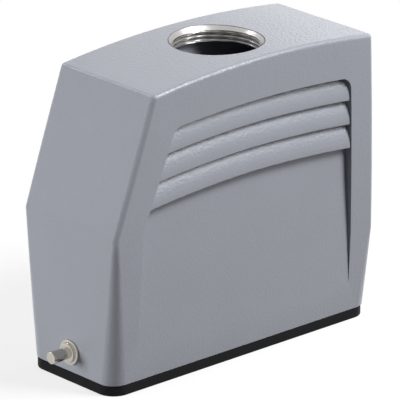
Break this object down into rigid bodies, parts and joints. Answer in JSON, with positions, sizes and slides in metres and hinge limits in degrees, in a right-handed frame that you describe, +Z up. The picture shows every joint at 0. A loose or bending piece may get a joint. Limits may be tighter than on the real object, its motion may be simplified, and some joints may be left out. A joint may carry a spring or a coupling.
{
  "type": "heavy duty rectangular connector",
  "caption": "Tall grey die-cast connector hood with one sloping end, louvred sides, a threaded cable entry on top, end locking pegs and a screw-terminal pin insert inside.",
  "frame": {"origin": "middle of the mating rim, on the plane that the seal presses on", "axes": "+X along the hood towards its upright end, +Y across it, +Z up towards the cable entry"},
  "size_m": [0.138, 0.0486, 0.1083],
  "materials": {
    "powder_coat": "light grey powder coat with a fine orange peel",
    "peg_steel": "turned, nickel plated steel",
    "seal_rubber": "matt black rubber",
    "insert_plastic": "dark grey glass-filled thermoplastic",
    "contact_metal": "silver plated copper alloy",
    "screw_steel": "zinc plated steel",
    "earth_steel": "zinc plated sheet steel"
  },
  "bodies": {
    "root": {"hood_shell": "powder_coat", "locking_peg_left": "peg_steel", "locking_peg_right": "peg_steel", "flange_gasket": "seal_rubber", "insert_body": "insert_plastic", "contact_pin_01": "contact_metal", "contact_pin_02": "contact_metal", "contact_pin_03": "contact_metal", "contact_pin_04": "contact_metal", "contact_pin_05": "contact_metal", "contact_pin_06": "contact_metal", "contact_pin_07": "contact_metal", "contact_pin_08": "contact_metal", "contact_pin_09": "contact_metal", "contact_pin_10": "contact_metal", "contact_pin_11": "contact_metal", "contact_pin_12": "contact_metal", "contact_pin_13": "contact_metal", "contact_pin_14": "contact_metal", "contact_pin_15": "contact_metal", "contact_pin_16": "contact_metal", "contact_pin_17": "contact_metal", "contact_pin_18": "contact_metal", "contact_pin_19": "contact_metal", "contact_pin_20": "contact_metal", "contact_pin_21": "contact_metal", "contact_pin_22": "contact_metal", "contact_pin_23": "contact_metal", "contact_pin_24": "contact_metal", "insert_screws": "screw_steel", "earth_plate_left": "earth_steel", "earth_plate_right": "earth_steel", "earth_clamps": "earth_steel", "earth_screws": "screw_steel"}
  },
  "joints": []
}
